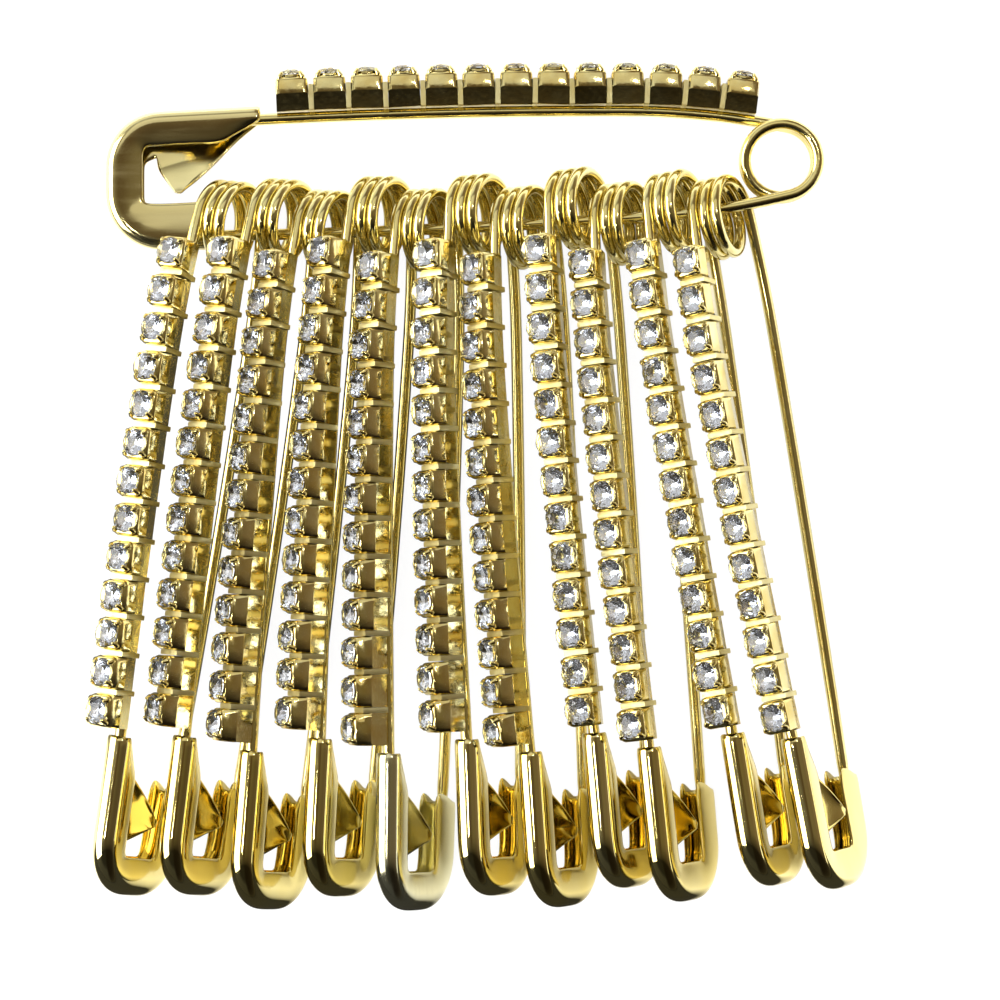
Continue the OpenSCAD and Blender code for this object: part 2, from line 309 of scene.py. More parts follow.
def makeNeedleWire():
    begun = wire["frameTurn"] + wire["split"] - wire["tongue"]
    angle = 90 - pin["riseSlope"] - begun
    at = onCoil(angle, begun)
    obj = startRing("needleWire", at, angle)
    bpy.ops.transform.resize(value=(wire["tongueWidth"],) * 3, center_override=at)
    coilOn(wire["tongue"] - wire["tongueStep"])
    coilOn(wire["tongueStep"])
    angle -= wire["tongue"]
    at = onCoil(angle, begun + wire["tongue"])
    bpy.ops.transform.resize(value=(1 / wire["tongueWidth"],) * 3, center_override=at)
    coilOn(wire["wholeTurn"] - wire["frameTurn"] - wire["split"])
    count = len(bmesh.from_edit_mesh(obj.data).verts)
    bend, bow, point = pin["bendSlope"], pin["bowSlope"], pin["pointSlope"]
    level = Vector((0, 0, loopZ))
    bendMiddle = needleFrom + bendRadius * Vector((-sind(bend), cosd(bend), 0)) + level
    bowMiddle = bowFrom + bowRadius * Vector((-sind(bow), cosd(bow), 0)) + level
    spin(-(bend - bow), bendMiddle, wire["tightSteps"])
    spin(-(bow - point), bowMiddle, wire["slackSteps"])
    along = Vector((-cosd(point), -sind(point), 0))
    shank = pin["straightLength"] - pin["pointShort"] - pin["pointLength"]
    extrude(*(shank * along))
    at = pointFrom + shank * along + level
    width = 1
    for share, left in pin["pointTaper"]:
        extrude(*(share * pin["pointLength"] * along))
        at = at + share * pin["pointLength"] * along
        bpy.ops.transform.resize(value=(left / width,) * 3, center_override=at)
        width = left
    pick(obj, lambda v: v.index >= count)
    bpy.ops.transform.rotate(value=rad(slant), orient_axis="Y", center_override=level)
    bpy.ops.mesh.select_all(action="SELECT")
    bpy.ops.mesh.fill_holes(sides=0)
    endEdit()
    tidyShell(obj, wire["smoothAngle"])
    return obj


# cap
def between(x, table):
    # a straight line between the rows of a table
    for (x0, y0), (x1, y1) in zip(table, table[1:]):
        if x <= x1:
            return y0 + (y1 - y0) * max(0, x - x0) / (x1 - x0)
    return table[-1][1]


capBuild = {
    "rimSides": 28, "rows": 4, "flange": 2.4,
    "armSteps": 10, "cornerSteps": 10, "sideSteps": 2, "lipSteps": 5,
    "fullness": 2.2,             # of the rim's section, where 2 is a half round
    "pinch": 0.3,                # the sheets lean together towards the window
    "lipFrom": 0.75, "lipRound": 0.9, "lipWave": 0.62,       # the lip's end swells over its last quarter
    "foldFrom": 1.2,             # the guard tab's fold starts this far left of the corners' middle
    "heelRise": 0.6, "toeShare": 0.95, "toeIn": 0.5,
    "tabHeight": 5.25, "tabTilt": 29, "tabRows": [0.22, 0.45, 0.68, 0.86, 1],
    "tabRound": 0.06, "sagUp": 0.175, "sagAcross": 0.125,
    "smoothAngle": 60,
}
# how round the window's corners are, and how deep the sheets are beside them
window = {"power": 6, "front": 2.13, "back": 1.237, "backLean": 0.335, "lip": 3.5}
least = 1e-3                     # keeps a divisor from being none
touch = 1e-4                     # slack where two stretches of the rim meet
# how far the sheets reach in from the rim's middle: share of the arm's length, millimetres
capEdge = {
    "front": [(0, 2.45), (0.4, 2.48), (0.6, 2.5), (0.8, 1.4), (0.95, 0.55), (1, 0.3)],
    "back": [(0, 3.36), (1, 0.36)],
    "lip": [(0, 3.5), (0.5, 3.6), (0.8, 3.75), (1, 3.3)],
    # share of the guard tab's height, where its far side is along the fold
    "tabFar": [(0, 0.97), (0.3, 0.76), (0.6, 0.58), (0.82, 0.42), (1, 0.24)],
    "tabNear": [(0, 0.06), (0.5, 0.11), (1, 0.17)],
}


def rounded(a, b):
    # the lesser of two distances, passing smoothly from one to the other
    return (a ** -window["power"] + b ** -window["power"]) ** (-1 / window["power"])


def rimPlace(p):
    # where on the rim a point of the cap belongs: the rim's middle there, outwards, and the sheets' reach
    side = capSize["sideWidth"]
    share = (p - armFrom).dot(armDirection) / capSize["armLength"]
    if share >= -touch and p.y > cornerTop.y:
        middle = armFrom + share * capSize["armLength"] * armDirection
        outward = Vector((-armDirection.y, armDirection.x, 0))
        return middle, outward, between(share, capEdge["front"]), between(share, capEdge["back"])
    if p.y > cornerTop.y + touch:
        outward = (Vector((p.x, p.y, 0)) - cornerTop).normalized()
        left = (cornerRadius - side) / max(-outward.x, least)
        front = rounded(left, window["front"] / max(outward.y, least))
        back = rounded(left, window["back"] / max(outward.y - window["backLean"] * outward.x, least))
        return cornerTop + cornerRadius * outward, outward, cornerRadius - front, cornerRadius - back
    if p.y > cornerLow.y - touch:
        outward = Vector((-1, 0, 0))
        return Vector((-pin["reach"] - cornerRadius, p.y, 0)), outward, side, side
    if p.x < -pin["reach"] - touch:
        outward = (Vector((p.x, p.y, 0)) - cornerLow).normalized()
        left = (cornerRadius - side) / max(-outward.x, least)
        below = (cornerRadius - window["lip"]) / max(-outward.y, least)
        depth = cornerRadius - rounded(left, below)
        return cornerLow + cornerRadius * outward, outward, depth, depth
    share = (p.x + pin["reach"]) / capSize["lipLength"]
    depth = between(share, capEdge["lip"])
    return Vector((p.x, rimLowY, 0)), Vector((0, -1, 0)), depth, depth


def drawRim(half):
    # a half-round gutter drawn along the arm, round both corners and along the lip
    facing = 90 + pin["dropSlope"]
    outward = Vector((cosd(facing), sind(facing), 0))
    start = armFrom + capSize["armLength"] * armDirection
    deselectAll()
    bpy.ops.mesh.primitive_circle_add(vertices=capBuild["rimSides"], radius=half, location=start,
                                      rotation=(rad(90), 0, rad(facing)))
    obj = named("cap")
    startEdit(obj)
    pick(obj, lambda v: (v.co - start).dot(outward) < -hair)
    bpy.ops.mesh.delete(type="VERT")
    pick(obj, lambda v: (v.co - start).dot(outward) < hair)
    for _ in range(capBuild["rows"]):
        extrude(*(-outward * capBuild["flange"] / capBuild["rows"]))
    bpy.ops.mesh.select_all(action="SELECT")
    for _ in range(capBuild["armSteps"]):
        extrude(*(-armDirection * capSize["armLength"] / capBuild["armSteps"]))
    spin(90 - pin["dropSlope"], cornerTop, capBuild["cornerSteps"])
    for _ in range(capBuild["sideSteps"]):
        extrude(0, (cornerLow.y - cornerTop.y) / capBuild["sideSteps"])
    spin(90, cornerLow, capBuild["cornerSteps"])
    for _ in range(capBuild["lipSteps"]):
        extrude(capSize["lipLength"] / capBuild["lipSteps"], 0)
    return obj


def shapeSheets(obj, half):
    # the sheets reach in as far as the window lets them, and the rim is fuller than a half round
    # it returns the edge of the back sheet that the guard tab is folded from
    mesh = bmesh.from_edit_mesh(obj.data)
    folded = []
    power = 2 / capBuild["fullness"]
    for v in mesh.verts:
        middle, out, front, back = rimPlace(v.co)
        depth = (middle - v.co).dot(out)
        if depth > hair:
            share = depth / capBuild["flange"]
            reach = (front if v.co.z > 0 else back) * share
            lipShare = (v.co.x + pin["reach"]) / capSize["lipLength"] if v.co.y < cornerLow.y else 0
            height = v.co.z
            onArm = v.co.y > cornerTop.y and v.co.x > -pin["reach"] - capBuild["foldFrom"]
            if share > 1 - hair and height < 0 and onArm:
                folded.append(v.index)
            v.co = middle - out * reach
            v.co.z = height - math.copysign(capBuild["pinch"] * share ** 1.5, height)
            if lipShare > capBuild["lipFrom"]:
                swell = capBuild["lipRound"] * math.sin(math.pi * capBuild["lipWave"] * share)
                v.co.x += swell * (lipShare - capBuild["lipFrom"]) / (1 - capBuild["lipFrom"])
        else:
            angle = math.atan2(v.co.z, -depth)
            outwards = half * abs(math.cos(angle)) ** power
            upwards = half * abs(math.sin(angle)) ** power
            v.co = middle + out * outwards + Vector((0, 0, math.copysign(upwards, angle)))
    bmesh.update_edit_mesh(obj.data)
    return folded


def foldTab(obj, folded, half):
    # the guard tab is folded forwards from the back sheet, from its heel at the corner to its toe on the arm
    heelLeft = pin["reach"] + cornerRadius - capSize["sideWidth"]
    heel = Vector((-heelLeft, cornerTop.y + capBuild["heelRise"], -half))
    toe = armFrom + capBuild["toeShare"] * capSize["armLength"] * armDirection
    run = toe - Vector((0, capBuild["toeIn"], half)) - heel
    foldLength = run.length
    run.normalize()
    square = Vector((run.y, -run.x, 0))
    pick(obj, lambda v: v.index in folded)
    for row in capBuild["tabRows"]:
        extrude(0, 0, hair)
        mesh = bmesh.from_edit_mesh(obj.data)
        mesh.verts.ensure_lookup_table()
        chosen = sorted([v for v in mesh.verts if v.select], key=lambda v: v.co.x)
        near, far = between(row, capEdge["tabNear"]), between(row, capEdge["tabFar"])
        for k, v in enumerate(chosen):
            share = k / (len(chosen) - 1)
            along = near + (far - near) * share
            rounding = 1 - capBuild["tabRound"] * row * math.cos(math.pi * share) ** 2
            height = row * rounding * capBuild["tabHeight"]
            sag = capBuild["sagUp"] * math.sin(math.pi * row)
            sag += capBuild["sagAcross"] * row * math.sin(math.pi * share)
            v.co = heel + along * foldLength * run + height * cosd(capBuild["tabTilt"]) * square
            v.co.z = -half + height * sind(capBuild["tabTilt"]) - sag
        bmesh.update_edit_mesh(obj.data)


def makeCap():
    half = (capSize["thickness"] - capSize["sheet"]) / 2
    obj = drawRim(half)
    foldTab(obj, shapeSheets(obj, half), half)
    endEdit()
    tidyShell(obj, 0)
    # the solidified sheet's second face takes the cap's second material, the painted bounce amber
    applyModifier(obj, "SOLIDIFY", thickness=capSize["sheet"], offset=0, use_even_offset=True,
                  material_offset=1)
    applyModifier(obj, "SUBSURF", levels=1, render_levels=1)
    tidyShell(obj, capBuild["smoothAngle"])
    return obj


# cups and stones, X along the strip and Y away from the wire
cup = {
    "narrowing": (0.975, 0.87),              # how much narrower the band is at the stone than at the base
    "cornerRound": 0.5, "cornerFrom": 0.2,   # the corners are rounded from a little above the base
    "rimRound": 0.42, "rimBelow": 0.26, "footWidth": 0.72, "wall": 0.12,
    "grooveBelow": 0.08, "grooveAbove": 0.1, "groove": (0.975, 0.965),       # between channel and band
    "seatDepth": 1.4, "seatWidth": 0.7,
    "prongRadius": 0.27, "prongHeight": 0.55, "prongAt": 1.19, "prongBelow": 0.15,
    "lean": 0.1, "leanFrom": (0.0, 0.25), "leanDown": 0.03,
    "smoothAngle": 35,
}
tie = {
    "length": 0.52, "height": 2.7, "swell": 1.02, "round": 0.14, "heightLess": 0.1, "widthLess": 0.16,
    "smoothAngle": 60,
}


def makeProng(sx, sz, full):
    # a long bead that leans in over the stone
    top = full - cup["prongBelow"]
    at = (sx * cup["prongAt"], top, sz * cup["prongAt"])
    deselectAll()
    bpy.ops.mesh.primitive_uv_sphere_add(segments=8, ring_count=7, radius=cup["prongRadius"],
                                         rotation=(rad(90), 0, 0), location=at)
    prong = named("prong")
    startEdit(prong)
    bpy.ops.mesh.select_all(action="SELECT")
    bpy.ops.transform.resize(value=(1, cup["prongHeight"] / cup["prongRadius"], 1), center_override=at)
    for above in cup["leanFrom"]:
        pick(prong, lambda v: v.co.y > top + above)
        bpy.ops.transform.translate(value=(-cup["lean"] * sx, -cup["leanDown"], -cup["lean"] * sz))
    endEdit()
    bpy.ops.object.shade_smooth()
    return prong


def makeCup():
    length, width, base = strip["cupLength"], strip["cupWidth"], strip["baseHeight"]
    full = base + strip["cupHeight"]
    rim = full - cup["rimBelow"]
    grooveLow, grooveHigh = base - cup["grooveBelow"], base + cup["grooveAbove"]
    deselectAll()
    bpy.ops.mesh.primitive_cube_add(size=1, location=(0, rim / 2, 0), scale=(length, rim, width))
    obj = named("cup")
    startEdit(obj)
    for y in (grooveLow, grooveHigh):
        bpy.ops.mesh.select_all(action="SELECT")
        bpy.ops.mesh.bisect(plane_co=(0, y, 0), plane_no=(0, 1, 0))
    pick(obj, lambda v: v.co.y > rim - hair)
    bpy.ops.transform.resize(value=(cup["narrowing"][0], 1, cup["narrowing"][1]), center_override=(0, rim, 0))
    pickEdges(obj, lambda a, b: abs(a.y - b.y) > hair and max(a.y, b.y) > base + cup["cornerFrom"])
    bpy.ops.mesh.bevel(offset=cup["cornerRound"], segments=2, affect="EDGES")
    pickEdges(obj, lambda a, b: min(a.y, b.y) > rim - hair)
    bpy.ops.mesh.bevel(offset=cup["rimRound"], segments=3, affect="EDGES")
    pick(obj, lambda v: abs(v.co.y - grooveLow) < hair)
    bpy.ops.transform.resize(value=(cup["groove"][0], 1, cup["groove"][1]), center_override=(0, base, 0))
    pick(obj, lambda v: v.co.y < hair)
    bpy.ops.transform.resize(value=(1, 1, cup["footWidth"]), center_override=(0, 0, 0))
    pickFaces(obj, lambda f: f.normal.y > 0.9 and f.calc_center_median().y > rim - hair)
    bpy.ops.mesh.inset(thickness=cup["wall"])
    extrude(0, -cup["seatDepth"])
    bpy.ops.transform.resize(value=(cup["seatWidth"], 1, cup["seatWidth"]), center_override=(0, 0, 0))
    endEdit()
    for polygon in obj.data.polygons:        # the channel is what lies under the groove
        polygon.material_index = 1 if polygon.center.y < grooveLow else 0
    bpy.ops.object.shade_smooth_by_angle(angle=rad(cup["smoothAngle"]))
    prongs = [makeProng(sx, sz, full) for sx, sz in ((1, 1), (1, -1), (-1, 1), (-1, -1))]
    for each in prongs + [obj]:
        each.select_set(True)
    bpy.context.view_layer.objects.active = obj
    bpy.ops.object.join()
    return obj


def makeTie():
    # the low rounded bar between one cup and the next
    x, y = -strip["pitch"] / 2, tie["height"] / 2
    deselectAll()
    bpy.ops.mesh.primitive_cube_add(
        size=1, location=(x, y, 0),
        scale=(tie["length"], tie["height"] - tie["heightLess"], strip["cupWidth"] - tie["widthLess"]))
    obj = named("tie")
    startEdit(obj)
    bpy.ops.mesh.select_all(action="SELECT")
    bpy.ops.mesh.bisect(plane_co=(x, 0, 0), plane_no=(1, 0, 0))
    pick(obj, lambda v: abs(v.co.x - x) < hair)
    bpy.ops.transform.resize(value=(1, tie["swell"], tie["swell"]), center_override=(x, y, 0))
    pick(obj, lambda v: v.co.y > y)
    bpy.ops.transform.resize(value=(1, 1, cup["narrowing"][1]), center_override=(0, tie["height"], 0))
    pick(obj, lambda v: abs(v.co.x - x) < hair)
    bpy.ops.mesh.bevel(offset=tie["round"], segments=2, affect="EDGES")
    endEdit()
    bpy.ops.object.shade_smooth_by_angle(angle=rad(tie["smoothAngle"]))
    return obj


stone = {
    "girdleBelow": 0.05,         # from the cup's rim to the girdle
    "foilFrom": 0.1,             # from the girdle down to the foil
    # corners, share of the radius, height over the girdle and turn, from the table down to the point
    "rings": [
        (8, 0.52, 0.57, 22.5), (8, 0.8, 0.4, 0), (16, 1.0, 0.06, 11.25),
        (16, 1.0, -0.06, 11.25), (8, 0.56, -0.54, 0), (8, 0.12, -1.0, 22.5),
    ],
}


def makeStone():
    middle = strip["baseHeight"] + strip["cupHeight"] - stone["girdleBelow"]
    deselectAll()
    rings = []
    for corners, share, height, turn in stone["rings"]:
        bpy.ops.mesh.primitive_circle_add(vertices=corners, radius=share * strip["stoneRadius"],
                                          location=(0, middle + height, 0), rotation=(rad(90), rad(turn), 0))
        rings.append(named("stoneRing"))
        deselectAll()
    heights = [middle + row[2] for row in stone["rings"]]
    for ring in rings:
        ring.select_set(True)
    obj = rings[0]
    bpy.context.view_layer.objects.active = obj
    bpy.ops.object.join()
    obj.name = obj.data.name = "stone"
    startEdit(obj)
    for upper, lower in zip(heights, heights[1:]):
        pickEdges(obj, lambda a, b: abs(a.y - b.y) < hair and min(abs(a.y - upper), abs(a.y - lower)) < hair)
        bpy.ops.mesh.bridge_edge_loops()
    bpy.ops.mesh.select_mode(type="VERT")
    for end in (heights[0], heights[-1]):
        pick(obj, lambda v: abs(v.co.y - end) < hair)
        bpy.ops.mesh.edge_face_add()
    bpy.ops.mesh.select_all(action="SELECT")
    bpy.ops.mesh.normals_make_consistent(inside=False)
    pickFaces(obj, lambda f: len(f.verts) == 4)
    bpy.ops.mesh.quads_convert_to_tris()
    endEdit()
    bpy.ops.object.shade_flat()
    for polygon in obj.data.polygons:      # the foil is on the faces under the girdle
        polygon.material_index = 1 if polygon.center.y < middle - stone["foilFrom"] else 0
    return obj


# materials
def addRange(tree, source, low, high):
    # turns the values from low to high into 0 to 1, unless the node is told otherwise
    node = tree.nodes.new("ShaderNodeMapRange")
    node.inputs["From Min"].default_value, node.inputs["From Max"].default_value = low, high
    tree.links.new(source, node.inputs["Value"])
    return node


def addRamp(tree, source, stops):
    # a colour for each stop, and the colours between them
    node = tree.nodes.new("ShaderNodeValToRGB")
    tree.links.new(source, node.inputs["Fac"])
    while len(node.color_ramp.elements) < len(stops):
        node.color_ramp.elements.new(0.5)
    for element, (at, colour) in zip(node.color_ramp.elements, stops):
        element.position, element.color = at, (*colour, 1)
    return node.outputs["Color"]


def addMix(tree, share, first, second):
    node = tree.nodes.new("ShaderNodeMix")
    node.data_type = "RGBA"
    tree.links.new(share, node.inputs["Factor"])
    tree.links.new(first, node.inputs["A"])
    tree.links.new(second, node.inputs["B"])
    return node.outputs["Result"]


def addNoise(tree, vector, detail):
    node = tree.nodes.new("ShaderNodeTexNoise")
    node.inputs["Detail"].default_value = detail
    tree.links.new(vector, node.inputs["Vector"])
    return node


plating = {
    "patchDetail": 4, "patches": (0.35, 0.68),               # where the noise turns from pale to deep
    "grainDetail": 3, "grain": (0.35, 0.75),                 # where it turns from smooth to dull
    "grainHeight": 0.25,                                     # of the grain beside the patches
}


def platedMetalGroup():
    # colour, roughness and fine height of plated brass: pale and deep patches, and a fine grain
    tree = bpy.data.node_groups.new("platedMetal", "ShaderNodeTree")
    for name, kind in (("Vector", "Vector"), ("Pale", "Color"), ("Deep", "Color"), ("Patch Scale", "Float"),
                       ("Grain Scale", "Float"), ("Smooth", "Float"), ("Dull", "Float")):
        tree.interface.new_socket(name=name, in_out="INPUT", socket_type="NodeSocket" + kind)
    for name, kind in (("Color", "Color"), ("Roughness", "Float"), ("Height", "Float")):
        tree.interface.new_socket(name=name, in_out="OUTPUT", socket_type="NodeSocket" + kind)
    link = tree.links.new
    into, out = tree.nodes.new("NodeGroupInput"), tree.nodes.new("NodeGroupOutput")
    patches = addNoise(tree, into.outputs["Vector"], plating["patchDetail"])
    link(into.outputs["Patch Scale"], patches.inputs["Scale"])
    spread = addRange(tree, patches.outputs["Fac"], *plating["patches"])
    tone = addMix(tree, spread.outputs["Result"], into.outputs["Pale"], into.outputs["Deep"])
    link(tone, out.inputs["Color"])
    grain = addNoise(tree, into.outputs["Vector"], plating["grainDetail"])
    link(into.outputs["Grain Scale"], grain.inputs["Scale"])
    dull = addRange(tree, grain.outputs["Fac"], *plating["grain"])
    link(into.outputs["Smooth"], dull.inputs["To Min"])
    link(into.outputs["Dull"], dull.inputs["To Max"])
    link(dull.outputs["Result"], out.inputs["Roughness"])
    relief = tree.nodes.new("ShaderNodeMath")
    relief.operation = "MULTIPLY_ADD"
    relief.inputs[1].default_value = plating["grainHeight"]
    link(grain.outputs["Fac"], relief.inputs[0])
    link(patches.outputs["Fac"], relief.inputs[2])
    link(relief.outputs["Value"], out.inputs["Height"])
    return tree


platedMetal = platedMetalGroup()


def metal(name, pale, deep, patchScale, grainScale, smooth, dull, bump, stretch=(1, 1, 1)):
    # the bump is in millimetres, and a stretch under 1 draws the patches out along that axis
    material = bpy.data.materials.new(name)
    material.use_nodes = True
    nodes, link = material.node_tree.nodes, material.node_tree.links.new
    shader = nodes["Principled BSDF"]
    shader.inputs["Metallic"].default_value = 1
    coordinates = nodes.new("ShaderNodeTexCoord")
    mapping = nodes.new("ShaderNodeMapping")
    mapping.inputs["Scale"].default_value = stretch
    link(coordinates.outputs["Object"], mapping.inputs["Vector"])
    group = nodes.new("ShaderNodeGroup")
    group.node_tree = platedMetal
    for key, value in (("Pale", (*pale, 1)), ("Deep", (*deep, 1)), ("Patch Scale", patchScale),
                       ("Grain Scale", grainScale), ("Smooth", smooth), ("Dull", dull)):
        group.inputs[key].default_value = value
    link(mapping.outputs["Vector"], group.inputs["Vector"])
    link(group.outputs["Color"], shader.inputs["Base Color"])
    link(group.outputs["Roughness"], shader.inputs["Roughness"])
    relief = nodes.new("ShaderNodeBump")
    relief.inputs["Strength"].default_value = 1
    relief.inputs["Distance"].default_value = bump * mm
    link(group.outputs["Height"], relief.inputs["Height"])
    link(relief.outputs["Normal"], shader.inputs["Normal"])
    return material


crystal = {
    "ior": 1.58, "cloudScale": 900, "rough": (0.02, 0.1),
    "tints": [(0, (0.9, 0.93, 0.97)), (1, (1, 1, 1))],
}


def glass(name):
    material = bpy.data.materials.new(name)
    material.use_nodes = True
    tree = material.node_tree
    shader = tree.nodes["Principled BSDF"]
    shader.inputs["Transmission Weight"].default_value = 1
    shader.inputs["IOR"].default_value = crystal["ior"]
    coordinates = tree.nodes.new("ShaderNodeTexCoord")
    cloud = tree.nodes.new("ShaderNodeTexNoise")
    cloud.inputs["Scale"].default_value = crystal["cloudScale"]
    tree.links.new(coordinates.outputs["Object"], cloud.inputs["Vector"])
    tree.links.new(addRamp(tree, cloud.outputs["Fac"], crystal["tints"]), shader.inputs["Base Color"])
    rough = addRange(tree, cloud.outputs["Fac"], 0, 1)
    rough.inputs["To Min"].default_value, rough.inputs["To Max"].default_value = crystal["rough"]
    tree.links.new(rough.outputs["Result"], shader.inputs["Roughness"])
    return material


# name, pale and deep colour, patch and grain scale, smooth and dull roughness, bump, stretch of the patches
metals = {
    "wire": ("wireGold", (0.90, 0.79, 0.36), (0.85, 0.69, 0.24), 220, 2600, 0.07, 0.2, 0.012),
    "cap": ("capGold", (0.91, 0.79, 0.36), (0.87, 0.70, 0.21), 90, 1500, 0.04, 0.12, 0.004, (1, 0.3, 1)),
    "carrierCap": ("carrierCapGold", (0.90, 0.80, 0.42), (0.85, 0.72, 0.30), 110, 1300, 0.08, 0.2, 0.007,
                   (0.15, 1, 1)),
    # painted highlight: a paler, less yellow copy of the cap's gold for pin 5's cap, standing in for its
    # washed-out highlights
    "paintedHighlightCap": ("paintedHighlightCapGold", (0.88, 0.84, 0.55), (0.83, 0.76, 0.42), 110, 1300, 0.12, 0.26, 0.006,
                (1, 0.2, 1)),
    # painted light: the cap's inside is a deeper amber copy of its gold, standing in for light bouncing round
    # inside the fold
    "paintedBounceCapInside": ("paintedBounceCapInsideGold", (0.98, 0.74, 0.12), (0.93, 0.60, 0.05), 120, 1500, 0.06, 0.16, 0.006,
                  (1, 0.3, 1)),
    "cup": ("cupGold", (0.90, 0.80, 0.38), (0.82, 0.64, 0.22), 420, 2400, 0.07, 0.22, 0.03),
    "channel": ("channelGold", (0.95, 0.84, 0.36), (0.86, 0.62, 0.14), 500, 1900, 0.26, 0.5, 0.022),
    "tie": ("tieGold", (0.88, 0.79, 0.42), (0.78, 0.66, 0.28), 420, 2400, 0.4, 0.58, 0.01),
    "foil": ("stoneFoil", (0.97, 0.98, 1.0), (0.90, 0.92, 0.97), 700, 3000, 0.06, 0.2, 0.003),
}
materials = {key: metal(*values) for key, values in metals.items()}
materials["glass"] = glass("clearStone")
print("materials made")


# pieces
def copyOf(master, matrix, name):
    mesh = master.data.copy()
    mesh.transform(matrix)
    mesh.name = name
    obj = bpy.data.objects.new(name, mesh)
    bpy.context.scene.collection.objects.link(obj)
    return obj


def place(master, name, matrix, body, standsFor):
    obj = copyOf(master, matrix, name)
    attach(obj, body)
    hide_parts(standsFor)
    return obj


def stripPlace(i, k, wobble):
    # where cup k of pin i sits on its spine
    firstRoll, twist = (0, 0) if i == 0 else bunch["hung"][i - 1][3:]
    x = -strip["hungStart" if i else "carrierStart"] - k * strip["pitch"]
    return (placeOf(i) @ Matrix.Translation((0, 0, -loopZ)) @ turned("Y", slant)
            @ Matrix.Translation((x, spineY(x), 0)) @ turned("Z", -math.degrees(spineTilt(x)))
            @ turned("X", firstRoll + k * twist) @ Matrix.Translation((0, strip["lift"], strip["shift"]))
            @ wobble)


def joinCopies(parts, name):
    deselectAll()
    copies = [copyOf(master, matrix, name) for master, matrix in parts]
    for obj in copies:
        obj.select_set(True)
    bpy.context.view_layer.objects.active = copies[0]
    bpy.ops.object.join()
    copies[0].name = copies[0].data.name = name
    return copies[0]


def uneven(axis, most):
    return turned(axis, dice.uniform(-most, most))


def dressPin(i):
    here = placeOf(i)
    place(frameWire, f"spineWire_{i}", here, "root", f"frame_{i}")
    place(needleWire, f"needleWire_{i}", here, f"needle_body_{i}", f"needle_{i}")
    capPiece = place(cap, f"foldedCap_{i}", here, "root", f"cap_{i}")
    if i in otherCaps:
        capPiece.data.materials[0] = materials[otherCaps[i]]
    # the carrier lies flat, so its cap's inside takes the carrier's own gold, not the painted bounce amber
    if i == 0:
        capPiece.data.materials[1] = materials["carrierCap"]
    cupPlaces, stonePlaces = [], []
    for k in range(strip["stones"]):
        wobble = uneven("X", strip["cupRoll"]) @ uneven("Z", strip["cupTurn"])
        cupPlaces.append(stripPlace(i, k, wobble))
        facing = turned("Y", dice.uniform(0, strip["stoneTurn"]))
        stonePlaces.append(stripPlace(i, k, wobble @ facing @ uneven("X", strip["stoneTilt"])))
    cupParts = [(cupMaster, matrix) for matrix in cupPlaces]
    cupParts += [(tieMaster, matrix) for matrix in cupPlaces[:-1]]
    stoneParts = [(stoneMaster, matrix) for matrix in stonePlaces]
    for parts, name, slotName, node in ((cupParts, "cupStrip", "gold_setting", "setting"),
                                        (stoneParts, "stoneRow", "rhinestone", "stones")):
        piece = joinCopies(parts, f"{name}_{i}")
        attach(piece, "root")
        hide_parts(f"{node}_{i}")


frameWire, needleWire, cap = makeFrameWire(), makeNeedleWire(), makeCap()
print("wires and cap made")
cupMaster, tieMaster, stoneMaster = makeCup(), makeTie(), makeStone()
print("cup and stone made")
# the cap's second material is the painted bounce amber of its inside
masters = [(frameWire, ["wire"]), (needleWire, ["wire"]), (cap, ["cap", "paintedBounceCapInside"]),
           (cupMaster, ["cup", "channel"]), (tieMaster, ["tie"]), (stoneMaster, ["glass", "foil"])]
for master, finishes in masters:
    for finish in finishes:
        master.data.materials.append(materials[finish])

# pin 5's cap takes the painted highlight copy of the gold on its outside
otherCaps = {0: "carrierCap", 5: "paintedHighlightCap"}
dice = random.Random(strip["seed"])
for i in range(1 + len(bunch["hung"])):
    dressPin(i)
for master, finishes in masters:
    bpy.data.objects.remove(master)
print("twelve pins placed")


# floor, light and camera
studio = {
    "cameraAt": (1.4, -1.65, 375), "lens": 127.4, "sensorWidth": 36, "seesFrom": 0.01, "seesTo": 10,
    "floorSize": 3000, "floorGlow": 0.93, "floorGrey": 0.1, "floorRoughness": 0.9,
    # the greys of the table that reflections see, in millimetres from its front to its back; the dark
    # stretches are painted shade: a dark band in front of the bunch and a darker stretch under it, deepest
    # under its left half
    "tableLeftPaintedShade": [(-47, 0.02), (-43, 0.85), (-28, 0.85), (-21, 0.1), (16, 0.1), (24, 0.85)],
    "tableRightPaintedShade": [(-47, 0.02), (-43, 0.85), (-28, 0.85), (-21, 0.6), (16, 0.6), (24, 0.85)],
    # where the painted shade under the bunch passes from its deep left half to its lighter right half
    "paintedShadeSplit": [(-4, 0), (6, 1)],        # from its left half to its right half
    # the sky by height, on the left and on the right, and how bright it is from the front to the back
    "skyLeft": [(0, (0.95, 0.96, 0.98)), (0.42, (0.9, 0.91, 0.93)), (0.6, (0.32, 0.31, 0.29)),
                (0.85, (0.3, 0.28, 0.24)), (0.94, (0.2, 0.17, 0.13)), (0.985, (0.14, 0.11, 0.07)),
                (1, (0.1, 0.07, 0.042))],
    "skyRight": [(0, (0.7, 0.66, 0.58)), (0.12, (0.4, 0.34, 0.27)), (0.3, (0.23, 0.18, 0.13)),
                 (0.7, (0.17, 0.13, 0.09)), (0.9, (0.17, 0.14, 0.09)), (0.985, (0.17, 0.14, 0.09)),
                 (1, (0.1, 0.07, 0.042))],
    "skyMiddle": (-0.05, 0.15),              # from its left half to its right half
    "skyDepth": [(0, (0.05, 0.05, 0.05)), (0.3, (0.08, 0.08, 0.08)), (0.44, (0.6, 0.6, 0.6)),
                 (0.5, (1, 1, 1))],
}
